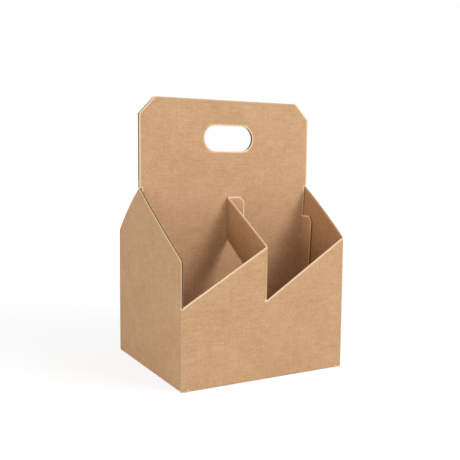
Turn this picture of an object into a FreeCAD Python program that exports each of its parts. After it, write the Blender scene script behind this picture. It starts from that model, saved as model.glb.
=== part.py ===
import FreeCAD, Part
import os

from FreeCAD import Vector

# Cardboard carrier for four bottles, glued up from two die-cut sheets of fluted board.
# Millimetres, +Z up. The origin is the middle of the footprint, on the ground.
# X runs along the front, and the front faces -Y. The front and the back are alike, and so
# are the two sides: each is the other turned half way round the Z axis.

# Board
board = 1.6                   # thickness of one ply
glue_line = 0.1               # thickness of the glue between the two sheets
fold_radius = 1.5             # outside of a creased fold
top_fold_radius = 1.4         # where the handle's sheet folds over its own top edge

# Box of the carrier
body_width = 180.0            # along the front, outside
body_depth = 162.0            # front to back, outside
side_bow = 8.5                # how far a side wall bows out at its peak
flat_clearance = 0.8          # a side wall stays flat this far above the floor, as beside its folds

# Saw-tooth front and back, and the peaked sides
notch_height = 77.0           # lowest point of each tooth
middle_tooth_height = 129.0   # top of the tooth that ends at the middle
folded_corner_height = 134.0  # top of a corner where two walls are one fold
free_corner_height = 120.0    # top of a corner where the side wall is cut free
peak_height = 182.0           # middle of a side wall

# Dividers, folded back out of the front and the back
divider_end_drop = 10.0       # its top at the handle panel, below the side walls' peaks
divider_tab_width = 20.0      # glued to the handle panel
tab_corner = 5.0              # corner cut off each glued tab

# Floor
flap_gap = 1.0                # slit where two floor flaps meet
outer_flap_inset = 7.0        # end of an outer floor flap, from the side wall's outside
inner_flap_inset = 3.0        # side of an inner floor flap, from the front's outside
ramp_length = 4.0             # an inner flap climbs over this onto the outer flaps
ramp_clearance = 0.4          # from the top of the ramp to the outer flaps' ends

# Glued corner seam
seam_tab_width = 28.0         # inside the side wall
seam_tab_drop = 4.0           # clear of the notch above, and of the floor below
seam_setback = 0.6            # side wall's cut edge, in front of the back's outer face

# Handle panel, one sheet folded double
handle_height = 271.0
handle_chamfer = 17.0         # both ways, at the two top corners
slot_length = 56.0
slot_height = 26.0
slot_margin = 26.0            # board left between the slot and the top
side_tab_width = 20.0         # glued inside a side wall, one to the front and one to the back
side_tab_lift = 5.8           # above the floor
side_tab_drop = 32.0          # below the side walls' peaks
shoulder_gap = 0.2            # under the panel's shoulder, where the side wall's peak ends

half_width = body_width / 2
half_depth = body_depth / 2
floor_top = 2 * board
flat_margin = floor_top + flat_clearance
beyond = body_width           # runs past every wall when a layer is cut to its outline

os.makedirs("parts", exist_ok=True)


def plate(outline, along):
    """A flat plate: the outline's points joined up, then drawn out by the vector."""
    corners = [Vector(*point) for point in outline]
    wire = Part.makePolygon(corners + [corners[0]])
    return Part.Face(wire).extrude(Vector(*along))


def half_turn(shape):
    """A copy of the shape, turned half way round the upright axis."""
    turned = shape.copy()
    turned.rotate(Vector(0, 0, 0), Vector(0, 0, 1), 180)
    return turned


def both_ways(shape):
    """The shape and its half turn."""
    return [shape, half_turn(shape)]


def round_off(corner, inward_a, inward_b, along):
    """What a fold's rounding takes off a square corner.

    The corner is the start of the square edge, the two inward vectors of length 1 point into
    the board across the edge, and along runs the length of the fold.
    """
    a = inward_a * fold_radius
    b = inward_b * fold_radius
    square = plate([corner, corner + a, corner + a + b, corner + b], along)
    length = along.Length
    round_bar = Part.makeCylinder(fold_radius, length, corner + a + b, along)
    return square.cut(round_bar)


def side_section(outer_x, inner_x, bow, height):
    """A level cut through a sheet that follows the left wall."""
    arc_end = half_depth - flat_margin
    outer = [Vector(outer_x, y, height) for y in (-half_depth, -arc_end, arc_end, half_depth)]
    inner = [Vector(inner_x, point.y, height) for point in reversed(outer)]
    return Part.Wire([
        Part.makeLine(outer[0], outer[1]),
        bowed_line(outer[1], outer[2], bow),
        Part.makeLine(outer[2], outer[3]),
        Part.makeLine(outer[3], inner[0]),
        Part.makeLine(inner[0], inner[1]),
        bowed_line(inner[1], inner[2], bow),
        Part.makeLine(inner[2], inner[3]),
        Part.makeLine(inner[3], outer[0]),
    ])


def bowed_line(start, end, bow):
    """The line from start to end, bowed out to the left at its middle."""
    if bow == 0:
        return Part.makeLine(start, end)
    middle = (start + end) / 2 + Vector(-bow, 0, 0)
    return Part.Arc(start, middle, end).toShape()


def side_layer(outer, inner, outline):
    """A sheet that follows the left wall, between two depths below the wall's outer face.

    It is straight beside the floor and bowed at the height of the peak. The outline's points
    are (y, z), and cut it to shape.
    """
    outer_x = outer - half_width
    inner_x = inner - half_width
    foot = Part.Face(side_section(outer_x, inner_x, 0, 0)).extrude(Vector(0, 0, flat_margin))
    bowed = Part.makeLoft([
        side_section(outer_x, inner_x, 0, flat_margin),
        side_section(outer_x, inner_x, side_bow, peak_height),
    ], True, True)
    cutter = plate([(-beyond, y, z) for y, z in outline], (beyond, 0, 0))
    return foot.fuse(bowed).common(cutter)


def side_wall():
    """The left wall, with a flat as wide as the handle panel at its peak."""
    return side_layer(0, board, [
        (-half_depth, 0),
        (half_depth, 0),
        (half_depth, folded_corner_height),
        (board, peak_height),
        (-board, peak_height),
        (-half_depth, free_corner_height),
    ])


def front_wall():
    """The front, a saw-tooth whose two teeth rise to the right."""
    return plate([
        (-half_width, -half_depth, 0),
        (half_width, -half_depth, 0),
        (half_width, -half_depth, folded_corner_height),
        (0, -half_depth, notch_height),
        (0, -half_depth, middle_tooth_height),
        (-half_width, -half_depth, notch_height),
    ], (0, board, 0))


# The divider ends against the handle panel, and its lower edge is the line that it was
# cut along, which is the slope of the right tooth.
divider_end = -(board + glue_line)
divider_end_height = peak_height - divider_end_drop
tooth_slope = (folded_corner_height - notch_height) / half_width
divider_end_bottom = notch_height + tooth_slope * (half_depth + divider_end)


def divider():
    """The flap cut out above the front's right tooth and folded back at the middle."""
    return plate([
        (0, -half_depth, notch_height),
        (0, divider_end, divider_end_bottom),
        (0, divider_end, divider_end_height),
        (0, -half_depth, middle_tooth_height),
    ], (-board, 0, 0))


def divider_tab():
    """The divider's end, folded to the right and glued to the handle panel.

    Its lower edge runs on along the same cut, so that it is cut out of the blank above the
    side wall.
    """
    tip = divider_tab_width - board
    tip_bottom = divider_end_bottom + tooth_slope * divider_tab_width
    tip_corner = min(tab_corner, (divider_end_height - tip_bottom) / 2)
    return plate([
        (-board, divider_end, divider_end_bottom),
        (tip, divider_end, tip_bottom),
        (tip, divider_end, divider_end_height - tip_corner),
        (tip - tip_corner, divider_end, divider_end_height),
        (-board, divider_end, divider_end_height),
    ], (0, -board, 0))


def outer_flap():
    """The front's floor flap, which lies on the ground and ends at the middle."""
    end = half_width - outer_flap_inset
    return plate([
        (-end, -half_depth, 0),
        (end, -half_depth, 0),
        (end, -flap_gap / 2, 0),
        (-end, -flap_gap / 2, 0),
    ], (0, 0, board))


def inner_flap():
    """The left wall's floor flap, which climbs onto the outer flaps and is glued there."""
    end = half_depth - inner_flap_inset
    top = outer_flap_inset - ramp_clearance - half_width
    foot = top - ramp_length
    tip = -flap_gap / 2
    return plate([
        (-half_width, -end, 0),
        (foot, -end, 0),
        (top, -end, board),
        (tip, -end, board),
        (tip, -end, floor_top),
        (top, -end, floor_top),
        (foot, -end, board),
        (-half_width, -end, board),
    ], (0, 2 * end, 0))


seam_bottom = floor_top + seam_tab_drop
seam_top = notch_height - seam_tab_drop


def seam_tab():
    """The back's right end, folded forward and glued inside the right wall.

    The layer starts half way into the wall, so that the glued plies are one solid.
    """
    tip = seam_tab_width - half_depth
    return half_turn(side_layer(board / 2, 2 * board, [
        (-half_depth, seam_bottom),
        (tip - tab_corner, seam_bottom),
        (tip, seam_bottom + tab_corner),
        (tip, seam_top - tab_corner),
        (tip - tab_corner, seam_top),
        (-half_depth, seam_top),
    ]))


def upright_rounding(x, y, inward_x, inward_y, bottom, top):
    """What comes off an upright fold between two heights."""
    return round_off(
        Vector(x, y, bottom),
        Vector(inward_x, 0, 0),
        Vector(0, inward_y, 0),
        Vector(0, 0, top - bottom),
    )


def fold_roundings():
    """Everything that the creased folds take off the square body."""
    seam_x = board - half_width
    left_fold = upright_rounding(-half_width, -half_depth, 1, 1, 0, notch_height)
    seam_fold = upright_rounding(seam_x, -half_depth, 1, 1, seam_bottom, seam_top)
    right_fold = upright_rounding(half_width, -half_depth, -1, 1, 0, folded_corner_height)
    middle_fold = upright_rounding(0, -half_depth, -1, 1, notch_height, middle_tooth_height)
    tab_fold = upright_rounding(
        -board, divider_end, 1, -1, divider_end_bottom, divider_end_height)
    outer_end = half_width - outer_flap_inset
    front_floor_fold = round_off(
        Vector(-outer_end, -half_depth, 0),
        Vector(0, 1, 0),
        Vector(0, 0, 1),
        Vector(2 * outer_end, 0, 0),
    )
    inner_end = half_depth - inner_flap_inset
    side_floor_fold = round_off(
        Vector(-half_width, -inner_end, 0),
        Vector(1, 0, 0),
        Vector(0, 0, 1),
        Vector(0, 2 * inner_end, 0),
    )
    roundings = [left_fold, half_turn(seam_fold)]
    for rounding in (right_fold, middle_fold, tab_fold, front_floor_fold, side_floor_fold):
        roundings += both_ways(rounding)
    return roundings


def seam_clearance():
    """The space beside the back's outer face that the right wall's cut edge stops short of."""
    inner_x = half_width - board
    edge_y = half_depth - seam_setback
    return plate([
        (inner_x, edge_y, 0),
        (beyond, edge_y, 0),
        (beyond, beyond, 0),
        (inner_x, beyond, 0),
    ], (0, 0, peak_height))


def carrier_body():
    """Walls, dividers, floor and seam: one sheet, folded and glued to itself."""
    walls = both_ways(side_wall()) + both_ways(front_wall())
    flaps = both_ways(outer_flap()) + both_ways(inner_flap())
    dividers = both_ways(divider()) + both_ways(divider_tab())
    square = walls[0].fuse(walls[1:] + flaps + dividers + [seam_tab()])
    return square.cut([seam_clearance()] + fold_roundings()).removeSplitter()


# The panel's sides run half way into its glued tabs, so that the panel and its tabs are
# one solid, and it clears the bowed side walls above and below them.
panel_side_depth = glue_line + 1.5 * board
handle_half_width = half_width + side_bow
side_tab_bottom = floor_top + side_tab_lift
side_tab_top = peak_height - side_tab_drop
slot_centre_height = handle_height - slot_margin - slot_height / 2


def panel_side(height):
    """Where the panel's left side runs, inside the bowed side wall."""
    bow = side_bow * (height - flat_margin) / (peak_height - flat_margin)
    return panel_side_depth - half_width - bow


def panel_plate():
    """Both plies of the panel, which stands on the floor and widens above the side walls."""
    shoulder = peak_height + shoulder_gap
    left = [
        (panel_side(flat_margin), floor_top),
        (panel_side(flat_margin), flat_margin),
        (panel_side(shoulder), shoulder),
        (-handle_half_width, shoulder),
        (-handle_half_width, handle_height - handle_chamfer),
        (handle_chamfer - handle_half_width, handle_height),
    ]
    right = [(-x, z) for x, z in reversed(left)]
    square = plate([(x, -board, z) for x, z in left + right], (0, 2 * board, 0))
    top_edges = [edge for edge in square.Edges if is_along_the_top(edge)]
    return square.makeFillet(top_fold_radius, top_edges)


def is_along_the_top(edge):
    """True on the two long edges of the handle's top."""
    on_top = all(vertex.Z > handle_height - board for vertex in edge.Vertexes)
    return on_top and edge.Length > handle_half_width


def side_tabs():
    """The panel's left ends, one ply folded to the front and one to the back."""
    return side_layer(board + glue_line, 2 * board + glue_line, [
        (-side_tab_width, side_tab_bottom + tab_corner),
        (tab_corner - side_tab_width, side_tab_bottom),
        (side_tab_width - tab_corner, side_tab_bottom),
        (side_tab_width, side_tab_bottom + tab_corner),
        (side_tab_width, side_tab_top - tab_corner),
        (side_tab_width - tab_corner, side_tab_top),
        (tab_corner - side_tab_width, side_tab_top),
        (-side_tab_width, side_tab_top - tab_corner),
    ])


def handle_slot():
    """The hand slot with round ends, through both plies."""
    radius = slot_height / 2
    straight_end = slot_length / 2 - radius
    through = Vector(0, 2 * board, 0)
    middle = plate([
        (-straight_end, -board, slot_centre_height - radius),
        (straight_end, -board, slot_centre_height - radius),
        (straight_end, -board, slot_centre_height + radius),
        (-straight_end, -board, slot_centre_height + radius),
    ], through)
    centre = Vector(-straight_end, -board, slot_centre_height)
    left_end = Part.makeCylinder(radius, through.Length, centre, through)
    return middle.fuse(both_ways(left_end))


def handle_panel():
    """The doubled sheet with the hand slot and its glued side tabs."""
    panel = panel_plate().fuse(both_ways(side_tabs()))
    return panel.cut(handle_slot()).removeSplitter()


carrier_body().exportStep("parts/carrier_body.step")
handle_panel().exportStep("parts/handle_panel.step")
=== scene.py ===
# %% The frame
import bisect
import math

import bmesh
import bpy
from mathutils import Color, Matrix, Vector
from mathutils.kdtree import KDTree


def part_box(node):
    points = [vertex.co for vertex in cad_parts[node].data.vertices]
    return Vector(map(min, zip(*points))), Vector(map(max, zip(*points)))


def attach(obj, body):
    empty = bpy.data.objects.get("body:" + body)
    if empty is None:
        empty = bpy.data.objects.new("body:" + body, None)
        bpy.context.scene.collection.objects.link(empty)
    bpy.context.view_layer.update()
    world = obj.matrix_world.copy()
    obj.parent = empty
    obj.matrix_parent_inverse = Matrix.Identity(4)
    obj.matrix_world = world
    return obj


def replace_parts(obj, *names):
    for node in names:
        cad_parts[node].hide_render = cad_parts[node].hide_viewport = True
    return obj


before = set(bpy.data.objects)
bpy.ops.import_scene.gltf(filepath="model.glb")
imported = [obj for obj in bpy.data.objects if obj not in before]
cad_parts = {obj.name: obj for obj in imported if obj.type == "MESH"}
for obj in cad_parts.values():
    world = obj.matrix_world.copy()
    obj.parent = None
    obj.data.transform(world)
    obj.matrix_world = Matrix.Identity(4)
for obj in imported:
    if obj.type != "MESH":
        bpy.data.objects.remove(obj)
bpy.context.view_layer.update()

body_low, body_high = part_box("carrier_body")
panel_low, panel_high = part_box("handle_panel")
print("carrier body from", tuple(body_low), "to", tuple(body_high))
print("handle panel from", tuple(panel_low), "to", tuple(panel_high))

# %% [markdown]
# # A carrier of fluted board
#
# Fluted board is three papers glued together: an outer liner, a wavy paper called the medium,
# and an inner liner. Where it is cut, the ends of the flutes show as a row of little arches.
# That edge is what tells the eye that this is board and not a brown slab, so the papers are
# modelled one by one.
#
# The real carrier is cut flat, creased and folded up, and this one is made in the same order.
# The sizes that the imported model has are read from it, and the rest are named here.

# %% Sizes
mm = 0.001
quarter_turn = math.pi / 2

side_bow = 8.5 * mm  # a side wall bows out this far at its peak
half_width = body_high.x - side_bow
half_depth = body_high.y
peak_height = body_high.z
handle_height = panel_high.z
handle_half_width = panel_high.x
side_tab_width = panel_high.y
board = panel_low.z / 2  # the panel stands on two plies

fold_radius = 1.5 * mm
fold_length = fold_radius * quarter_turn  # what a fold takes of the flat sheet
flute_pitch = 3.5 * mm
liner = 0.2 * mm
medium = 0.22 * mm
glue = 0.05 * mm  # what glue holds two plies apart
rim_width = 1.8 * mm  # the knife presses the board down this far in

notch_height = 77 * mm
middle_height = 129 * mm  # top of the tooth that ends at the middle
folded_corner = 134 * mm  # where two walls are one fold
free_corner = 120 * mm  # where a side wall is cut free
bow_start = 4 * mm  # the side walls are straight up to here
print(f"board {board / mm:.2f} mm thick, box {half_width / mm * 2:.0f} mm wide")

# %% [markdown]
# ## The flat blank
#
# A blank is an outline, so it could be a curve that is filled. But the flutes need rows of
# points across them and the folds need columns, so each area of the blank is cut into cells
# by a grid. A cell at a sloping edge ends on the slope, which keeps the cut line straight.
#
# Areas that touch share their points and stay one sheet. An area that a knife has cut free
# keeps points of its own, so that it can be folded away from its neighbour.

# %% Cells of an outline
nearly = 0.0002 * mm  # points nearer than this are one point
fold_steps = 6  # cells across a fold
wall_steps = 20  # cells across a side wall
panel_steps = 16  # cells across the handle panel


def crossing(edge, y):
    """Where an edge of the outline is, at the height y."""
    (x0, y0), (x1, y1) = edge
    return x0 + (x1 - x0) * (y - y0) / (y1 - y0)


def trimmed(points, x, side):
    """The part of a small convex outline to the right of x, or to the left if side is -1."""
    kept = []
    for a, b in zip(points, points[1:] + points[:1]):
        past_a = (a[0] - x) * side
        past_b = (b[0] - x) * side
        if past_a >= 0:
            kept.append(a)
        if past_a * past_b < 0:
            share = past_a / (past_a - past_b)
            kept.append((x, a[1] + (b[1] - a[1]) * share))
    return kept


def area(points):
    """The area of an outline, above 0 when it runs anticlockwise."""
    pairs = zip(points, points[1:] + points[:1])
    return sum(a[0] * b[1] - b[0] * a[1] for a, b in pairs) / 2


def ends_at(edges, y):
    """Where a row starts and ends at the height y, and where its two rims stop.

    Measured along the row, the rim of a sloping edge is wider than that of an upright one.
    """
    start, end = [crossing(edge, y) for edge in edges]
    reaches = []
    for low, high in edges:
        along_row = rim_width * math.dist(low, high) / (high[1] - low[1])
        reaches.append(min(along_row, (end - start) / 3))
    return [start, start + reaches[0], end - reaches[1], end]


def cells(rings, columns, rows):
    """Every cell of the grid that lies inside the outline and outside its holes."""
    edges = []
    for ring in rings:
        for a, b in zip(ring, ring[1:] + ring[:1]):
            if a[1] != b[1]:
                edges.append((a, b) if a[1] < b[1] else (b, a))
    for low, high in zip(rows, rows[1:]):
        middle = (low + high) / 2
        met = [edge for edge in edges if edge[0][1] < middle < edge[1][1]]
        met.sort(key=lambda edge: crossing(edge, middle))
        for pair in zip(met[::2], met[1::2]):
            below = ends_at(pair, low)
            above = ends_at(pair, high)
            for i in range(3):
                strip = [(below[i], low), (below[i + 1], low),
                         (above[i + 1], high), (above[i], high)]
                yield from split(strip, columns)


def split(strip, columns):
    """A strip of a row, cut at every column that crosses it."""
    start = min(strip[0][0], strip[3][0])
    end = max(strip[1][0], strip[2][0])
    stops = [x for x in columns if start + nearly < x < end - nearly]
    for x0, x1 in zip([start] + stops, stops + [end]):
        cell = strip
        if x0 > start:
            cell = trimmed(cell, x0, 1)
        if x1 < end:
            cell = trimmed(cell, x1, -1)
        if len(cell) > 2 and area(cell) > nearly ** 2:
            yield cell


def spaced(start, end, count):
    """Evenly spaced places from start to end."""
    return [start + (end - start) * i / count for i in range(count + 1)]


def grid_rows(stops, step):
    """Every multiple of the step that isn't next to a stop, and the stops."""
    stops = sorted({round(stop, 9) for stop in stops})
    first = math.ceil(stops[0] / step)
    last = math.floor(stops[-1] / step)
    between = [i * step for i in range(first, last + 1)]
    clear = [y for y in between if min(abs(y - stop) for stop in stops) > step / 5]
    return sorted(stops + clear)


# %% Patches and folds
class Patch:
    """An area of the blank: its outline and holes, its columns, and where it goes.

    Where own(x, y) is true the patch is cut free, and its points carry its tag.
    """

    def __init__(self, tag, rings, columns, own=lambda x, y: False,
                 place=lambda x, y: (x, y)):
        self.tag = tag
        self.rings = rings
        self.columns = columns
        self.own = own
        self.place = place


class Fold:
    """A crease of the blank, and the tags of the points that turn with it.

    along is the direction across the crease, away from the part that stays. The points
    tagged rigid turn all the way, wherever they lie.
    """

    def __init__(self, name, along, start, members=None, but=(), rigid=(), outward=False,
                 radius=fold_radius, turn=quarter_turn):
        self.name = name
        self.along = along
        self.start = start if callable(start) else (lambda y: start)
        self.members = members
        self.but = but
        self.rigid = rigid
        self.outward = outward
        self.radius = radius
        self.turn = turn

    def past(self, x, y):
        """How far a point of the blank lies past the crease."""
        return self.along[0] * x + self.along[1] * y - self.start(y)

    def turned(self, x, y, tag):
        """How much of the fold's angle the point turns, from 0 to 1."""
        if tag in self.but or (self.members and tag not in self.members):
            return 0
        if tag in self.rigid:
            return 1
        return min(max(self.past(x, y) / (self.radius * self.turn), 0), 1)


layer = 10 * mm  # points with a tag are joined this far above the rest


class Blank:
    """The cells of all patches, joined wherever they aren't cut apart."""

    def __init__(self, patches, step):
        stops = [y for patch in patches for ring in patch.rings for _, y in ring]
        rows = grid_rows(stops, step)
        self.names = sorted({patch.tag for patch in patches})
        placed = []
        for patch in patches:
            for cell in cells(patch.rings, patch.columns, rows):
                points = [patch.place(x, y) for x, y in cell]
                if area(points) < 0:
                    points.reverse()
                placed.append((patch, points))
        on_line = {}
        for _, points in placed:
            for x, y in points:
                on_line.setdefault(round(y, 8), set()).add(x)
        on_line = {y: sorted(xs) for y, xs in on_line.items()}
        self.join(placed, on_line)

    def join(self, placed, on_line):
        """Makes the faces, giving each one the points that its neighbours have on its sides."""
        sheet = bmesh.new()
        for patch, points in placed:
            corners = []
            for a, b in zip(points, points[1:] + points[:1]):
                corners.append(a)
                if round(a[1], 8) == round(b[1], 8):
                    xs = on_line[round(a[1], 8)]
                    first = bisect.bisect_right(xs, min(a[0], b[0]) + nearly)
                    last = bisect.bisect_left(xs, max(a[0], b[0]) - nearly)
                    between = [(x, a[1]) for x in xs[first:last]]
                    corners += between if a[0] < b[0] else between[::-1]
            lift = self.names.index(patch.tag) * layer
            tagged = [(x, y, lift * patch.own(x, y)) for x, y in corners]
            sheet.faces.new([sheet.verts.new(point) for point in tagged])
        bmesh.ops.remove_doubles(sheet, verts=sheet.verts, dist=nearly)
        sheet.verts.index_update()
        self.points = [(v.co.x, v.co.y) for v in sheet.verts]
        self.tags = [self.names[round(v.co.z / layer)] for v in sheet.verts]
        self.faces = [[v.index for v in face.verts] for face in sheet.faces]
        self.cuts = []
        for edge in sheet.edges:
            if edge.is_boundary:
                loop = edge.link_loops[0]
                self.cuts.append((loop.vert.index, loop.link_loop_next.vert.index))
        sheet.free()


# %% [markdown]
# ## The body's blank
#
# Laid flat, the walls are one long strip: right, front, left and back, with the floor flaps
# below. Each divider is cut out above a tooth and stays joined to the tooth beside it. The
# back repeats the front, and the left side repeats the right, one back's distance further on.

# %% Sizes of the body's blank
front_end = half_width - fold_radius
side_end = half_depth - fold_radius
wall_start = front_end + fold_length  # where a side wall's flat part starts
wall_middle = wall_start + side_end
wall_stop = wall_start + 2 * side_end
back_middle = -(wall_stop + fold_length + front_end)

seam_line = back_middle - (half_width - board - glue - fold_radius)
seam_setback = 0.6 * mm
seam_low = 2 * board + 4 * mm
seam_high = notch_height - 4 * mm
seam_tab_width = 28 * mm
seam_tip = seam_line - fold_length - (seam_tab_width - fold_radius)
tab_corner = 5 * mm
right_edge = wall_stop + fold_radius - seam_setback
free_edge = wall_stop + fold_radius
left_notch = back_middle + free_edge

divider_top = 172 * mm
tab_width = 20 * mm
divider_end = -(board + 2 * glue)
tooth_slope = (folded_corner - notch_height) / half_width
divider_low = notch_height + tooth_slope * (half_depth + divider_end)
half_fold = fold_length / 2
leaf_start = -fold_radius  # the fold at the middle, from the middle of the front
leaf_corner = leaf_start + half_fold
tab_line = leaf_start + fold_length + side_end + divider_end - fold_radius
tab_fold_middle = tab_line + half_fold
leaf_tip = tab_line + fold_length + tab_width - fold_radius

outer_flap = half_width - 7 * mm  # half the width of a flap
inner_flap = half_depth - 3 * mm
half_slit = 0.5 * mm
outer_flap_end = fold_radius - fold_length - (side_end - half_slit)
inner_flap_end = fold_radius - fold_length - (front_end - half_slit)
print(f"the body's blank is {(right_edge - seam_tip) / mm:.0f} mm long")

# %% Columns of the body's blank
body_columns = sorted(
    spaced(front_end, wall_start, fold_steps) + spaced(wall_start, wall_stop, wall_steps)
    + spaced(-wall_start, -front_end, fold_steps)
    + spaced(-wall_stop, -wall_start, wall_steps)
    + spaced(-wall_stop - fold_length, -wall_stop, fold_steps)
    + spaced(seam_line - fold_length, seam_line, fold_steps)
    + [left_notch, seam_line - fold_radius]
)
flaps = [  # the middle of each, half its width, and its end
    (back_middle, outer_flap, outer_flap_end),
    (-wall_middle, inner_flap, inner_flap_end),
    (0, outer_flap, outer_flap_end),
    (wall_middle, inner_flap, inner_flap_end),
]
flap_ends = [middle + side * half for middle, half, _ in flaps for side in (-1, 1)]
notch_ends = [left_notch, -wall_start]
for middle in (0, back_middle):
    notch_ends += [middle + leaf_start, middle + leaf_corner, middle]


def with_rims(columns, cut_ends):
    """The columns, and more beside the end of a cut.

    A mark is blended over each cell, so a long cell would carry the rim's away from the cut.
    """
    reaches = [step * rim_width for step in (-2, -1, 0, 1, 2)]
    return sorted(columns + [x + reach for x in cut_ends for reach in reaches])


# %% Outlines of the body's areas
def rectangle(x0, x1, y0, y1):
    """One upright outline."""
    return [(x0, y0), (x1, y0), (x1, y1), (x0, y1)]


def glued_tab(start, end, low, high):
    """A tab that reaches from its crease to its end, with both corners there cut off."""
    corner = math.copysign(tab_corner, end - start)
    return [(start, low), (end - corner, low), (end, low + tab_corner),
            (end, high - tab_corner), (end - corner, high), (start, high)]


def shoulder(middle, end, corner_height):
    """A right tooth and the peaked wall that is folded from it, above the notches."""
    return [
        (middle, notch_height),
        (middle + end, notch_height),
        (middle + end, corner_height),
        (middle + wall_middle + board, peak_height),
        (middle + wall_middle - board, peak_height),
        (middle + front_end + half_fold, folded_corner),
    ]


def leaf(middle, start):
    """A left tooth, and the divider and tab that carry on from it."""
    tab_low = divider_low + tooth_slope * (leaf_tip - tab_fold_middle)
    start_low = notch_height + (start - middle + half_width) * (
        middle_height - notch_height) / half_width
    return [
        (start, notch_height),
        (middle + leaf_corner, notch_height),
        (middle + tab_fold_middle, divider_low),
        (middle + leaf_tip, tab_low),
        (middle + leaf_tip, divider_top - tab_corner),
        (middle + leaf_tip - tab_corner, divider_top),
        (middle + tab_fold_middle, divider_top),
        (middle + leaf_corner, middle_height),
        (start, start_low),
    ]


def leaf_patch(tag, middle, start):
    """A tooth whose points past the middle fold are the divider's own."""
    folded = (spaced(leaf_start, leaf_start + fold_length, fold_steps)
              + spaced(tab_line, tab_line + fold_length, fold_steps))
    columns = with_rims(body_columns + [middle + x for x in folded],
                        [start, middle + leaf_start])
    return Patch(tag, [leaf(middle, start)], columns,
                 own=lambda x, y: x > middle + leaf_start + nearly)


# %% Areas of the body's blank
free_height = free_corner + seam_setback * (peak_height - free_corner) / half_depth
foot_rim = fold_radius + rim_width
notch_rim = notch_height - rim_width
body_patches = [
    Patch("", [shoulder(0, right_edge, free_height)], body_columns),
    Patch("free", [shoulder(back_middle, free_edge, free_corner)],
          with_rims(body_columns, [-wall_start]), own=lambda x, y: x > -wall_start + nearly),
    leaf_patch("front_leaf", 0, left_notch),
    leaf_patch("back_leaf", back_middle, seam_line - fold_radius),
    Patch("seam", [glued_tab(seam_line, seam_tip, seam_low, seam_high)], body_columns,
          own=lambda x, y: x < seam_line - nearly),
]
strips = [
    (seam_line, right_edge, fold_radius, foot_rim, flap_ends),
    (seam_line, right_edge, foot_rim, notch_rim, []),
    (seam_line, right_edge, notch_rim, notch_height, notch_ends),
    (seam_line - fold_radius, seam_line, 0, seam_low, []),
    (seam_line - fold_radius, seam_line, seam_high, notch_height, []),
]
for x0, x1, y0, y1, cut_ends in strips:
    body_patches.append(
        Patch("", [rectangle(x0, x1, y0, y1)], with_rims(body_columns, cut_ends)))
for middle, half, end in flaps:
    body_patches.append(
        Patch("flap", [rectangle(middle - half, middle + half, end, fold_radius)],
              body_columns, own=lambda x, y: y < fold_radius - nearly))
wall_feet = [seam_line] + flap_ends + [right_edge]
for x0, x1 in zip(wall_feet[::2], wall_feet[1::2]):
    body_patches.append(Patch("", [rectangle(x0, x1, 0, fold_radius)], body_columns))
print("the body's blank has", len(body_patches), "areas")

# %% Folds of the body
body_folds = [
    Fold("floor", (0, -1), -fold_radius, members=["flap"]),
    Fold("front_tab", (1, 0), tab_line, members=["front_leaf"], outward=True),
    Fold("front_middle", (1, 0), leaf_start, members=["front_leaf"]),
    Fold("back_tab", (1, 0), back_middle + tab_line, members=["back_leaf"], outward=True),
    Fold("back_middle", (1, 0), back_middle + leaf_start, members=["back_leaf"]),
    Fold("seam", (-1, 0), -seam_line, members=["seam"]),
    Fold("back_corner", (-1, 0), wall_stop, but=["front_leaf"], rigid=["back_leaf"]),
    Fold("left_corner", (-1, 0), front_end, but=["front_leaf"], rigid=["free"]),
    Fold("right_corner", (1, 0), front_end, but=["front_leaf"]),
]
print("the body has", len(body_folds), "folds")

# %% [markdown]
# ## The panel's blank
#
# The handle panel is cut as one sheet twice as tall as it stands, and folded double over its
# top edge. So the two plies are one outline and its mirror image about that edge. Each ply
# has its half of the hand slot and a glued tab at each side.

# %% Outline of the panel
panel_foot = 2 * (board + glue)
tab_fold = half_width - board - 2 * glue - fold_radius
raw_side = half_width - 1.5 * board - 2 * glue  # the panel's side where it has no tab
side_tab_reach = fold_length + side_tab_width - fold_radius
side_tab_low = 9 * mm
side_tab_high = 150 * mm
shoulder_height = peak_height + 0.2 * mm
chamfer = 17 * mm
top_line = handle_height - board
apex = top_line + board * quarter_turn
slot_height = 232 * mm
slot_radius = 13 * mm
slot_reach = 15 * mm  # from the middle of the slot to the middle of its end
slot_steps = 24  # straight pieces in a round end


def risen(y):
    """How far up the bowed part of a side wall this height is, from 0 to 1."""
    return min(max((y - bow_start) / (peak_height - bow_start), 0), 1)


def folded_up(y):
    """The height in the front ply of a point of either ply."""
    return min(y, 2 * apex - y)


def tab_line_at(y):
    """Where the panel's side tabs start, at a place of the blank."""
    return tab_fold + side_bow * risen(folded_up(y))


def panel_outline():
    """The outline of one ply without its tabs."""
    low = side_bow * risen(side_tab_low)
    high = side_bow * risen(side_tab_high)
    side = [
        (raw_side, panel_foot),
        (raw_side, bow_start),
        (raw_side + low, side_tab_low),
        (tab_fold + low, side_tab_low),
        (tab_fold + high, side_tab_high),
        (raw_side + high, side_tab_high),
        (raw_side + side_bow, peak_height),
        (raw_side + side_bow, shoulder_height),
        (handle_half_width, shoulder_height),
        (handle_half_width, handle_height - chamfer),
        (handle_half_width - chamfer, apex),
    ]
    return side + [(-x, y) for x, y in reversed(side)]


def slot_outline():
    """The hand slot: two half circles and the straight lines between them."""
    points = []
    for side in (1, -1):
        for i in range(slot_steps + 1):
            turn = (i / slot_steps - 0.5) * math.pi
            points.append((side * (slot_reach + slot_radius * math.cos(turn)),
                           slot_height + side * slot_radius * math.sin(turn)))
    return points


def placed_at(side, flipped):
    """Puts a tab at the left or right of the front ply, or of the back ply if flipped."""
    def place(x, y):
        return side * (tab_line_at(y) + x), (2 * apex - y if flipped else y)
    return place


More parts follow.
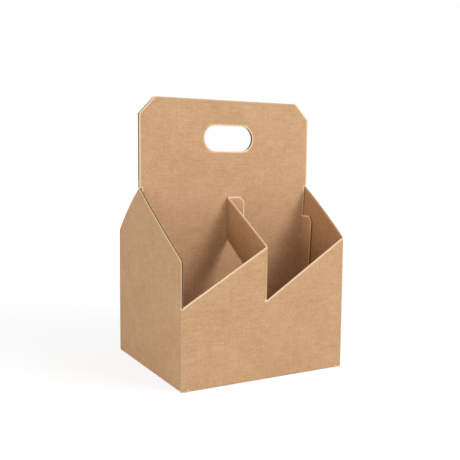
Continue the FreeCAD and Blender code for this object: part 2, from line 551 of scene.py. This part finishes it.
# where two rims end
rim_ends = [raw_side + side_bow * risen(y) - rim_width for y in (side_tab_high, peak_height)]
panel_columns = sorted(spaced(-handle_half_width, handle_half_width, panel_steps)
                       + rim_ends + [-x for x in rim_ends])
panel_rings = [panel_outline(), slot_outline()]
panel_patches = [
    Patch("", panel_rings, panel_columns),
    Patch("", panel_rings, panel_columns, place=lambda x, y: (x, 2 * apex - y)),
]
side_tab = glued_tab(0, side_tab_reach, side_tab_low, side_tab_high)
tab_columns = spaced(0, fold_length, fold_steps) + [fold_length + x * mm for x in (6, 12)]
for side in (-1, 1):
    for flipped in (False, True):
        panel_patches.append(
            Patch("side_tab", [side_tab], tab_columns, place=placed_at(side, flipped),
                  own=lambda x, y: abs(x) > tab_line_at(y) + nearly))

panel_folds = [
    Fold("left_tabs", (-1, 0), tab_line_at, members=["side_tab"], outward=True),
    Fold("right_tabs", (1, 0), tab_line_at, members=["side_tab"], outward=True),
    Fold("top", (0, 1), top_line, radius=board, turn=math.pi),
]
print(f"the panel's blank is {2 * (apex - panel_foot) / mm:.0f} mm long")

# %% [markdown]
# ## Where the sheets curve
#
# Besides its folds, a sheet curves in two places. Each side wall bows out in the middle, most
# at its peak, and the tabs glued inside it follow. The two side flaps of the floor start on the
# ground and climb onto the front and back flaps. Both are written as a share, from 0 to 1, that
# is stored at each point and multiplied by a size in the node tree.

# %% Bow and climb
climb_start = 2.6 * mm  # from the side wall's outer face
climb_length = 4 * mm


def body_bow(x, y, tag):
    """The share of the bow at a point of the body's blank."""
    if tag.endswith("leaf"):
        return 0
    across = abs(x) - wall_middle
    if tag == "seam":
        across = side_end + fold_length - (seam_line - x)
    return max(0, 1 - (across / side_end) ** 2) * risen(y)


def body_climb(x, y, tag):
    """The share of the climb at a point of the body's blank."""
    if tag != "flap" or abs(abs(x) - wall_middle) > side_end:
        return 0
    reach = 2 * fold_radius - y - fold_length
    share = min(max((reach - climb_start) / climb_length, 0), 1)
    return share ** 2 * (3 - 2 * share)


def panel_bow(x, y, tag):
    """How far a side tab gives way, as the wall outside it curves back."""
    if tag != "side_tab":
        return 0
    across = fold_radius + max(abs(x) - tab_line_at(y) - fold_length, 0)
    return (across / side_end) ** 2 * risen(folded_up(y))


def panel_climb(*point):
    """No flap of the panel climbs."""
    return 0


print(f"the side walls bow out {side_bow / mm:.1f} mm at their peaks")

# %% [markdown]
# ## Papers with a thickness
#
# Every paper is the same blank at two depths, joined round the cut edges, so that each one is a
# closed solid of its own. What the node tree has to know about a point, such as how far it lies
# past each crease, is stored as an attribute with a plain name.
#
# A knife that runs nearly along the flutes presses them shut, and one that runs across them
# leaves them open. So each point near a cut stores how near it is, and how far it was pressed.
# Cuts are scuffed by hands and bottles, and those near the foot, out of reach, a good deal less.
# The pale band near a cut is partly this scuff and partly a painted highlight along the edge.

# %% A paper's mesh
def crease_of(folds, x, y, tag):
    """How near the middle of a crease the point is, from 0 to 1."""
    turns = [fold.turned(x, y, tag) for fold in folds if tag not in fold.rigid]
    return max(4 * turn * (1 - turn) for turn in turns)


shut_slant = 0.52  # a cut nearer to the flutes' direction is pressed shut
open_slant = 0.62  # a cut further across the flutes stays open
foot_pale_band = 0.35  # how strong a cut's pale band, scuff and painted highlight, is at the foot, from 0 to 1
pale_band_rise = 9 * mm  # it would grow by 1 over this height


def slant_of(a, b):
    """How far across the flutes a cut runs: 0 along them and 1 square across."""
    return abs(a[1] - b[1]) / math.dist(a, b)


class Rim:
    """The cut edges of a blank as closely spaced places, to find the nearest one."""

    spacing = 0.3 * mm

    def __init__(self, blank):
        places = []
        self.shut = []
        for a, b in blank.cuts:
            start, end = Vector(blank.points[a]), Vector(blank.points[b])
            share = (open_slant - slant_of(start, end)) / (open_slant - shut_slant)
            steps = math.ceil((end - start).length / self.spacing)
            for i in range(steps + 1):
                places.append(start.lerp(end, i / steps))
                self.shut.append(min(max(share, 0), 1))
        self.tree = KDTree(len(places))
        for i, place in enumerate(places):
            self.tree.insert(place.to_3d(), i)
        self.tree.balance()

    def at(self, x, y):
        """How near a cut the point is, and how far it is pressed shut, both from 0 to 1."""
        _, nearest, distance = self.tree.find((x, y, 0))
        nearness = max(0, 1 - distance / rim_width)
        scuff_and_highlight = min(max(foot_pale_band + y / pale_band_rise, foot_pale_band), 1)
        return nearness * scuff_and_highlight, nearness * self.shut[nearest]


def paper_mesh(name, blank, folds, bow, climb, depths, skins):
    """A closed paper between two depths of the board, still flat."""
    placed = [(x, y, tag) for (x, y), tag in zip(blank.points, blank.tags)]
    count = len(placed)
    points = [(x, y, -depth) for depth in depths for x, y, _ in placed]
    faces = list(blank.faces)
    faces += [[i + count for i in reversed(face)] for face in blank.faces]
    faces += [(a, a + count, b + count, b) for a, b in blank.cuts]
    mesh = bpy.data.meshes.new(name)
    mesh.from_pydata(points, [], faces)

    rim = Rim(blank)
    nearness, pressed = zip(*[rim.at(x, y) for x, y in blank.points])
    marks = {
        "rim": nearness,
        "pressed": pressed,
        "bow": [bow(*point) for point in placed],
        "climb": [climb(*point) for point in placed],
        "creased": [crease_of(folds, *point) for point in placed],
    }
    for fold in folds:
        marks[fold.name + "_turn"] = [fold.turned(*point) for point in placed]
        marks[fold.name + "_past"] = [fold.past(x, y) for x, y, _ in placed]
    marks = {mark: values * 2 for mark, values in marks.items()}
    marks["skin"] = [skins[0]] * count + [skins[1]] * count
    marks["outer"] = [1.0] * count + [-1.0] * count
    for mark, values in marks.items():
        stored = mesh.attributes.new(mark, "FLOAT", "POINT")
        stored.data.foreach_set("value", values)
    return mesh


# %% [markdown]
# ## Sums on sockets
#
# Long sums are hard to follow as nodes and easy to read as Python. So one small class wraps a
# socket, and adding or multiplying it adds the Math node. It serves the geometry trees and the
# materials alike, because both know the same Math nodes.

# %% A wire in a sum
def operator(operation, other_first=False):
    """A method for one of Python's operators, which adds one Math node."""
    def method(self, other):
        pair = (other, self) if other_first else (self, other)
        return self.net.sum(operation, *pair)
    return method


class Wire:
    """An output socket that can stand in a sum."""

    def __init__(self, net, socket):
        self.net = net
        self.socket = socket
        self.is_vector = socket.type in ("VECTOR", "RGBA")

    def __getitem__(self, name):
        """Another output of the same node."""
        return Wire(self.net, self.socket.node.outputs[name])

    __add__ = operator("ADD")
    __sub__ = operator("SUBTRACT")
    __mul__ = operator("MULTIPLY")
    __truediv__ = operator("DIVIDE")
    __gt__ = operator("GREATER_THAN")
    __lt__ = operator("LESS_THAN")
    __radd__ = operator("ADD", other_first=True)
    __rsub__ = operator("SUBTRACT", other_first=True)
    __rmul__ = operator("MULTIPLY", other_first=True)

    def clamped(self):
        """The value, kept between 0 and 1."""
        return self.net.sum("MAXIMUM", self.net.sum("MINIMUM", self, 1), 0)


# %% Adding nodes
class Net:
    """Adds nodes to one tree."""

    def __init__(self, tree):
        self.tree = tree

    def node(self, kind, settings={}, sockets={}):
        """A node: its settings first, then the values or links of its sockets."""
        made = self.tree.nodes.new(kind)
        for name, value in settings.items():
            setattr(made, name, value)
        for name, value in sockets.items():
            if isinstance(value, Wire):
                self.tree.links.new(value.socket, made.inputs[name])
            else:
                made.inputs[name].default_value = value
        shown = [socket for socket in made.outputs if socket.enabled]
        return Wire(self, shown[0]) if shown else made

    def sum(self, operation, a, b=0.0):
        """A Math node, or a Vector Math node where a vector is met. Some take one number."""
        vectors = [isinstance(value, tuple) or
                   (isinstance(value, Wire) and value.is_vector) for value in (a, b)]
        if vectors[0] != vectors[1]:
            vector, scale = (a, b) if vectors[0] else (b, a)
            return self.node("ShaderNodeVectorMath", {"operation": "SCALE"},
                             {0: vector, "Scale": scale})
        kind = "ShaderNodeVectorMath" if vectors[0] else "ShaderNodeMath"
        return self.node(kind, {"operation": operation}, {0: a, 1: b})

    def apart(self, vector):
        """The three numbers of a vector."""
        parts = self.node("ShaderNodeSeparateXYZ", sockets={0: vector})
        return parts["X"], parts["Y"], parts["Z"]

    def vector(self, x, y, z):
        """A vector from three numbers."""
        return self.node("ShaderNodeCombineXYZ", sockets={0: x, 1: y, 2: z})


# %% A geometry tree
class NodeGroup(Net):
    """A geometry tree with named inputs and one geometry output."""

    def __init__(self, name, **kinds):
        super().__init__(bpy.data.node_groups.new(name, "GeometryNodeTree"))
        sockets = self.tree.interface
        sockets.new_socket("Geometry", in_out="INPUT", socket_type="NodeSocketGeometry")
        for kind, labels in kinds.items():
            for label in labels:
                sockets.new_socket(label, in_out="INPUT", socket_type="NodeSocket" + kind)
        sockets.new_socket("Geometry", in_out="OUTPUT", socket_type="NodeSocketGeometry")
        self.given = self.node("NodeGroupInput")
        self.identifiers = {item.name: item.identifier for item in sockets.items_tree
                            if item.in_out == "INPUT"}

    def stored(self, name, kind="FLOAT"):
        """An attribute of the geometry."""
        return self.node("GeometryNodeInputNamedAttribute", {"data_type": kind},
                         {"Name": name})["Attribute"]

    def moved(self, geometry, sockets):
        """Moves points."""
        return self.node("GeometryNodeSetPosition", sockets={"Geometry": geometry, **sockets})


# %% [markdown]
# ## A crease
#
# A fold is a strip of the sheet rolled round a line. A point in the strip turns by a share of
# the whole angle, and a point beyond it turns all the way and stays flat. In the roll the board
# is squeezed, because its inner paper has no room, so the thickness shrinks a little there.
#
# Blender has no modifier that creases a sheet, and an armature would bend it softly. The sum is
# short, so it is one node group, used once for each fold, from the flaps inwards.

# %% The crease group
crease = NodeGroup("Crease", Vector=["Along"], Float=[
    "Turn", "Past", "Radius", "Angle", "Inside", "Face", "Squeeze"])
given = crease.given
position = crease.node("GeometryNodeInputPosition")
flat = crease.stored("flat", "FLOAT_VECTOR")
turn, along, radius = given["Turn"], given["Along"], given["Radius"]
passed = crease.sum("DOT_PRODUCT", position - flat, along)["Value"] + given["Past"]
depth = crease.apart(position)[2] * -1
squeezed = 1 - given["Squeeze"] * 4 * turn * (1 - turn)
inside = (depth - given["Face"]) * given["Inside"] * squeezed
angle = turn * given["Angle"]
whole_turn = 0.9999  # points that turn further than this lie past the strip
rest = (passed - radius * given["Angle"]) * (turn > whole_turn)
sine = crease.sum("SINE", angle)
cosine = crease.sum("COSINE", angle)
new_passed = (radius - inside) * sine + rest * cosine
new_inside = radius - (radius - inside) * cosine + rest * sine
new_depth = given["Face"] + given["Inside"] * new_inside
offset = along * (new_passed - passed) + crease.vector(0.0, 0.0, depth - new_depth)
moved = crease.moved(given["Geometry"], {"Selection": turn > 0.0, "Offset": offset})
crease.node("NodeGroupOutput", sockets={"Geometry": moved})
print("crease group has", len(crease.tree.nodes), "nodes")

# %% [markdown]
# ## From the flat blank to the folded sheet
#
# The flutes come first, while the blank is flat and they all run the same way. The medium is
# waved between the liners, a little unevenly. A liner is glued to the tips of the waves and
# sinks a hair between them, which gives board its faint ribs. The knife that cuts the blank
# presses its edges thinner. Then come the bow, the climb and the folds, and last the sheet is
# stood up in its place.

# %% The folding tree
unevenness_scale = 60  # uneven patches for each metre
flattened = 0.85  # the share of its height that a pressed flute loses


def folding_tree(name, folds):
    """A tree that turns one flat paper of a sheet into its folded shape."""
    net = NodeGroup(name, Material=["Paper", "Cut edge"], Float=[
        "Board", "Flute pitch", "Flute height", "Flute unevenness", "Seed", "Side", "Sag",
        "Pressed rim", "Crush", "Bow", "Climb", "Squeeze", "Front"])
    given = net.given
    position = net.node("GeometryNodeInputPosition")
    normal = net.node("GeometryNodeInputNormal")
    facing_out = net.sum("ABSOLUTE", net.apart(normal)[2])
    geometry = net.node("GeometryNodeStoreNamedAttribute",
                        {"data_type": "FLOAT_VECTOR", "domain": "POINT"},
                        {"Geometry": given["Geometry"], "Name": "flat", "Value": position})
    geometry = net.node("GeometryNodeStoreNamedAttribute",
                        {"data_type": "BOOLEAN", "domain": "FACE"},
                        {"Geometry": geometry, "Name": "cut", "Value": facing_out < 0.5})

    y = net.apart(position)[1]
    skin = net.stored("skin")
    turns = y * math.tau / given["Flute pitch"]
    wave = net.sum("COSINE", turns)
    patchy = net.node("ShaderNodeTexNoise", {"noise_dimensions": "4D"},
                      {"Vector": position * unevenness_scale, "W": given["Seed"]})
    height = given["Flute height"] * (1 - given["Flute unevenness"] * patchy)
    pressed = given["Pressed rim"] * net.stored("pressed")
    flute = wave * height * (1 - net.stored("pressed") * flattened)
    between_tips = (1 - skin * wave) * 0.5
    sunk = skin * given["Sag"] * between_tips
    crushed = given["Crush"] * net.stored("pressed") * net.stored("outer")
    out = flute - sunk - given["Side"] * pressed + crushed
    out = out + given["Bow"] * net.stored("bow") - given["Climb"] * net.stored("climb")
    geometry = net.moved(geometry, {"Offset": net.vector(0.0, 0.0, out)})

    for fold in folds:
        geometry = net.node("GeometryNodeGroup", {"node_tree": crease.tree}, {
            "Geometry": geometry,
            "Turn": net.stored(fold.name + "_turn"),
            "Past": net.stored(fold.name + "_past"),
            "Along": (*fold.along, 0),
            "Radius": fold.radius,
            "Angle": fold.turn,
            "Inside": -1.0 if fold.outward else 1.0,
            "Face": given["Board"] if fold.outward else 0.0,
            "Squeeze": given["Squeeze"],
        })

    x, y, z = net.apart(position)
    geometry = net.moved(geometry, {"Position": net.vector(x, given["Front"] - z, y)})
    geometry = net.node("GeometryNodeRealizeInstances", sockets={"Geometry": geometry})
    geometry = net.node("GeometryNodeSetMaterial",
                        sockets={"Geometry": geometry, "Material": given["Paper"]})
    geometry = net.node("GeometryNodeSetMaterial",
                        sockets={"Geometry": geometry, "Material": given["Cut edge"],
                                 "Selection": net.stored("cut", "BOOLEAN")})
    net.node("NodeGroupOutput", sockets={"Geometry": geometry})
    return net


# %% [markdown]
# ## Kraft paper
#
# Kraft liner is unbleached, so it keeps the colour of the wood. Its colour isn't even: there
# are wide clouds, fine fibres that lie mostly across the flutes, and a few paler and darker
# flecks. Where the paper was creased or cut, it is painted paler: partly scuffed fibre, and
# partly a painted highlight along the fold or the edge.
#
# All of it follows the sheet and not the room, so the patterns are read from the flat place of
# each point. That place was stored before the sheet was folded, and the fibres turn every
# corner with the paper.

# %% Colours
def linear(red, green, blue):
    """A colour picked on a screen, from 0 to 255, as the light that a shader works with."""
    picked = Color((red / 255, green / 255, blue / 255))
    return (*picked.from_srgb_to_scene_linear(), 1)


def shader(name):
    """A new material's net, and nothing in it."""
    material = bpy.data.materials.new(name)
    material.use_nodes = True
    material.node_tree.nodes.clear()
    return material, Net(material.node_tree)


def noise(net, place, scale, detail=2, roughness=0.5):
    """Clouds around 0, from about -0.5 to 0.5. The scale is in clouds for each metre."""
    made = net.node("ShaderNodeTexNoise", sockets={
        "Vector": place * scale, "Scale": 1.0, "Detail": detail, "Roughness": roughness})
    return made - 0.5


def attribute(net, name, output="Fac"):
    """A mark that was stored on the sheet."""
    return net.node("ShaderNodeAttribute", {"attribute_name": name})[output]


def mixed(net, share, a, b):
    """A colour between two."""
    made = net.node("ShaderNodeMix", {"data_type": "RGBA"}, {0: share, 6: a, 7: b})
    return Wire(net, made.socket.node.outputs[2])


# %% Liner material
def kraft_shade(net, place):
    """How much lighter or darker than its tone the paper is at a place."""
    clouds = noise(net, place, 22, 3, 0.6)
    patches = noise(net, place, 120, 3, 0.6)
    mottle = noise(net, place, 420, 3, 0.65)
    fibres = noise(net, place, (2600, 260, 800))
    ribbing = noise(net, place, (45, 640, 90))
    streaks = noise(net, place, (420, 14, 60))
    return (0.14 * clouds + 0.12 * patches + 0.22 * mottle + 0.11 * fibres
            + 0.11 * ribbing + 0.05 * streaks)


fleck_start = 0.2  # where the noise is stronger than this there is a fleck
fleck_edge = 0.07  # and this much further on it is a whole one


def flecks_of(net, place):
    """Single fibres that are paler or darker than the rest, as a value around 0."""
    spots = noise(net, place + (0.3, 0.1, 0.2), (900, 420, 900), 1)
    pale = ((spots - fleck_start) / fleck_edge).clamped()
    dark = ((-fleck_start - spots) / fleck_edge).clamped()
    return pale - dark


painted_flute_shade = 0.85  # painted shade: how much darker it is inside the flutes, from 0 to 1
most_scuff_and_highlight = 0.85  # how much of the pale colour can show, as scuff and painted highlight


def paper(name, tone, worn_and_highlight):
    """Kraft paper of one tone, with a paler colour where it is worn and where a highlight is
    painted along cuts and creases.

    Inside the flutes it is darkened, as painted shade.
    """
    material, net = shader(name)
    place = attribute(net, "flat", "Vector")
    grain = noise(net, place, 1500, 3, 0.6)
    patches = noise(net, place, 300, 2, 0.6)
    shade = kraft_shade(net, place) + 0.08 * grain + 0.09 * flecks_of(net, place)
    deep = tuple(part * share for part, share in zip(tone, (0.81, 0.71, 0.56, 1)))
    pale = tuple(part * share for part, share in zip(tone, (1.19, 1.29, 1.44, 1)))
    colour = mixed(net, (0.5 + 4 * shade).clamped(), deep, pale)
    # paler along creases and cuts: partly scuffed fibre, partly a painted highlight
    scuff_and_highlight = (attribute(net, "creased") * (0.25 + 1.2 * patches)
               + attribute(net, "rim") * (1.8 + 1.5 * grain)).clamped()
    skin = attribute(net, "skin")
    colour = mixed(net, scuff_and_highlight * most_scuff_and_highlight, colour, worn_and_highlight)
    # painted shade: faces inside the board, between the two skins, are darkened
    colour = colour * (1 - painted_flute_shade * (1 - skin * skin))
    bump = net.node("ShaderNodeBump", sockets={
        "Strength": 0.4, "Distance": 0.06 * mm, "Height": shade * 2.0 + grain * 0.8})
    surface = net.node("ShaderNodeBsdfPrincipled", sockets={
        "Base Color": colour, "Roughness": 0.8 + 0.15 * patches + 0.08 * scuff_and_highlight,
        "Normal": bump, "Specular IOR Level": 0.15})
    net.node("ShaderNodeOutputMaterial", sockets={"Surface": surface})
    return material


# %% [markdown]
# ## Cut edges
#
# Paper that is cut through is rough and fluffy. Where the knife pressed the board shut, torn
# fibres are packed together and show pale. So the cut faces have a finish of their own, which
# follows the mark of how far they were pressed.

# %% Cut edge material
def cut_edge(name, tone, dark):
    """Cut paper between two tones, and pale where it was pressed shut."""
    material, net = shader(name)
    place = attribute(net, "flat", "Vector")
    fluff = noise(net, place, 900, 3, 0.7)
    clouds = noise(net, place, 160)
    share = (0.3 + 1.2 * fluff + 0.9 * clouds).clamped()
    torn = mixed(net, share, linear(246, 222, 190), linear(212, 178, 142))
    colour = mixed(net, attribute(net, "pressed"), mixed(net, share, tone, dark), torn)
    bump = net.node("ShaderNodeBump", sockets={
        "Strength": 0.5, "Distance": 0.05 * mm, "Height": fluff})
    surface = net.node("ShaderNodeBsdfPrincipled", sockets={
        "Base Color": colour, "Roughness": 0.95, "Normal": bump,
        "Specular IOR Level": 0.1})
    net.node("ShaderNodeOutputMaterial", sockets={"Surface": surface})
    return material


# The last colour of each paper is its pale band: scuffed fibre and a painted highlight.
outer_kraft = paper("outer_kraft", linear(205, 164, 124), linear(250, 224, 188))
# The inner liner is darker than the outer: partly a browner kraft, partly painted shade for the
# insides of the cells.
inner_kraft = paper("inner_kraft", linear(182, 140, 100), linear(236, 206, 168))
flute_kraft = paper("flute_kraft", linear(174, 130, 92), linear(196, 156, 118))
outer_cut = cut_edge("outer_cut", linear(186, 150, 114), linear(126, 94, 66))
inner_cut = cut_edge("inner_cut", linear(196, 160, 124), linear(150, 116, 86))
flute_cut = cut_edge("flute_cut", linear(232, 198, 160), linear(186, 148, 112))
print("materials:", [material.name for material in bpy.data.materials])

# %% [markdown]
# ## Making the papers
#
# Three papers for each of the two sheets make six pieces. The same tree folds all three papers
# of a sheet, with the outer liner, the medium and the inner liner given different inputs. The
# result is turned into a plain mesh, so nothing is left live.

# %% Folding the papers
wave_height = (board - 2 * liner - medium) / 2
rows_per_flute = {"medium": 8, "liner": 5}
pressed_rim = 0.32 * mm  # how far the knife presses each liner in
crush = board / 2 - liner - pressed_rim - medium / 2  # crushed flutes fill what is left
sharp_angle = math.radians(35)  # the cut edges are sharp and the folds smooth


def fold_paper(name, mesh, group, values):
    """Folds one flat paper and returns it as a plain mesh object."""
    flat_piece = bpy.data.objects.new(name + "_flat", mesh)
    bpy.context.collection.objects.link(flat_piece)
    modifier = flat_piece.modifiers.new("Fold", "NODES")
    modifier.node_group = group.tree
    for label, value in values.items():
        modifier[group.identifiers[label]] = value
    bpy.context.view_layer.update()
    graph = bpy.context.evaluated_depsgraph_get()
    seen = flat_piece.evaluated_get(graph)
    folded = bpy.data.meshes.new_from_object(seen, preserve_all_data_layers=True,
                                             depsgraph=graph)
    folded.name = name
    bpy.data.objects.remove(flat_piece)
    for mark in [mark.name for mark in folded.attributes]:
        if mark.endswith(("_turn", "_past")) or mark in ("bow", "climb", "outer"):
            folded.attributes.remove(folded.attributes[mark])
    folded.shade_smooth()
    folded.set_sharp_from_angle(angle=sharp_angle)
    piece = bpy.data.objects.new(name, folded)
    bpy.context.collection.objects.link(piece)
    return piece


def make_sheet(node, patches, folds, bow, climb, front):
    """The three papers of a sheet of board, folded and in place."""
    group = folding_tree(node + "_folding", folds)
    blanks = {kind: Blank(patches, flute_pitch / rows) for kind, rows in rows_per_flute.items()}
    middle = board / 2
    papers = (
        ("outer_liner", "liner", (0, liner), (1, 0), 1.0, 0.0, 0.0, outer_kraft, outer_cut),
        ("medium", "medium", (middle - medium / 2, middle + medium / 2), (0, 0), 0.0,
         wave_height, crush, flute_kraft, flute_cut),
        ("inner_liner", "liner", (board - liner, board), (0, -1), -1.0, 0.0, 0.0,
         inner_kraft, inner_cut),
    )
    pieces = []
    for part, kind, depths, skins, side, height, filling, kraft, edge in papers:
        name = node + "_" + part
        mesh = paper_mesh(name, blanks[kind], folds, bow, climb, depths, skins)
        piece = fold_paper(name, mesh, group, {
            "Board": board, "Flute pitch": flute_pitch, "Flute height": height,
            "Flute unevenness": 0.3, "Seed": 3.0, "Side": side, "Sag": 0.03 * mm,
            "Pressed rim": pressed_rim, "Crush": filling, "Bow": side_bow,
            "Climb": board + glue, "Squeeze": 0.25, "Front": front, "Paper": kraft,
            "Cut edge": edge,
        })
        triangles = sum(len(face.vertices) - 2 for face in piece.data.polygons)
        print(f"{name}: {triangles} triangles")
        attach(piece, "root")
        pieces.append(piece)
    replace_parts(pieces[0], node)


make_sheet("carrier_body", body_patches, body_folds, body_bow, body_climb, -half_depth)
make_sheet("handle_panel", panel_patches, panel_folds, panel_bow, panel_climb, -board)

# %% [markdown]
# ## Floor
#
# The carrier stands on a plain white floor and throws a soft shadow. In soft light a matt floor
# looks grey, so the camera also sees it glow, more so further away, and there it turns into
# the white background without a line.

# %% Floor
floor_grey = 0.7
glow_strength = 1.3
near_glow = 0.6  # the share of the glow around the carrier
glow_start = 0.4  # it grows from this far away, in metres
glow_reach = 0.8  # and is whole this much further on

material, net = shader("white_floor")
matt = net.node("ShaderNodeBsdfDiffuse", sockets={"Color": (floor_grey,) * 3 + (1,)})
glow = net.node("ShaderNodeEmission", sockets={"Color": (1, 1, 1, 1), "Strength": glow_strength})
away = net.sum("LENGTH", net.node("ShaderNodeTexCoord")["Object"], (0, 0, 0))["Value"]
far = ((away - glow_start) / glow_reach).clamped()
seen = net.node("ShaderNodeLightPath")["Is Camera Ray"]
surface = net.node("ShaderNodeMixShader",
                   sockets={0: seen * (near_glow + (1 - near_glow) * far), 1: matt, 2: glow})
net.node("ShaderNodeOutputMaterial", sockets={"Surface": surface})

bpy.ops.mesh.primitive_plane_add(size=12)
floor = bpy.context.object
floor.name = "studio_floor"
floor.data.materials.append(material)
print("floor", tuple(floor.dimensions))

# %% [markdown]
# ## Light
#
# A tinted lamp would spoil the paper's colour, so every lamp is white, and large and soft. The
# world gives most of the light. One big lamp at the front right makes the front a little
# brighter than the left side, and a weaker one, low at the left, keeps that side from going
# dull.

# %% Light
world = bpy.data.worlds.new("studio")
world.use_nodes = True
world.node_tree.nodes.clear()
sky = Net(world.node_tree)
seen = sky.node("ShaderNodeLightPath")
shown = sky.sum("MAXIMUM", seen["Is Camera Ray"], seen["Is Glossy Ray"])
daylight = 0.55
level = daylight + shown * (1 - daylight)
light = sky.node("ShaderNodeBackground", sockets={"Color": (1, 1, 1, 1), "Strength": level})
sky.node("ShaderNodeOutputWorld", sockets={"Surface": light})
bpy.context.scene.world = world

lamp_size = 0.9
aim = Vector((0, 0, handle_height / 2))


def softbox(name, place, watts):
    """A large square lamp that faces the middle of the carrier."""
    lamp = bpy.data.lights.new(name, "AREA")
    lamp.size = lamp_size
    lamp.energy = watts
    holder = bpy.data.objects.new(name, lamp)
    bpy.context.collection.objects.link(holder)
    holder.location = place
    holder.rotation_euler = (aim - Vector(place)).to_track_quat("-Z", "Y").to_euler()
    print(f"lamp {name}: {watts} W at {place}")


softbox("front_right", (1.1, -1.5, 1.3), 25.5)
softbox("left", (-1.8, -0.5, 0.5), 9)

# %% [markdown]
# ## Camera
#
# The camera stands at the front left, a little lower than the hand slot, and looks down a
# little. So the front and the left side both show, and the eye looks just into the cells.

# %% Camera
camera_yaw = math.radians(28.88)
camera_pitch = math.radians(-5.82)
camera_roll = math.radians(0.54)
lens = bpy.data.cameras.new("camera")
lens.sensor_width = 36
lens.lens = 53.2
camera = bpy.data.objects.new("camera", lens)
bpy.context.collection.objects.link(camera)
camera.location = (-0.3401, -0.6224, 0.2093)
tilt = Matrix.Rotation(-camera_yaw, 3, "Z") @ Matrix.Rotation(quarter_turn + camera_pitch, 3, "X")
camera.rotation_euler = (tilt @ Matrix.Rotation(camera_roll, 3, "Z")).to_euler()
bpy.context.scene.camera = camera
bpy.context.scene.view_settings.view_transform = "Standard"
print("camera", tuple(camera.location))
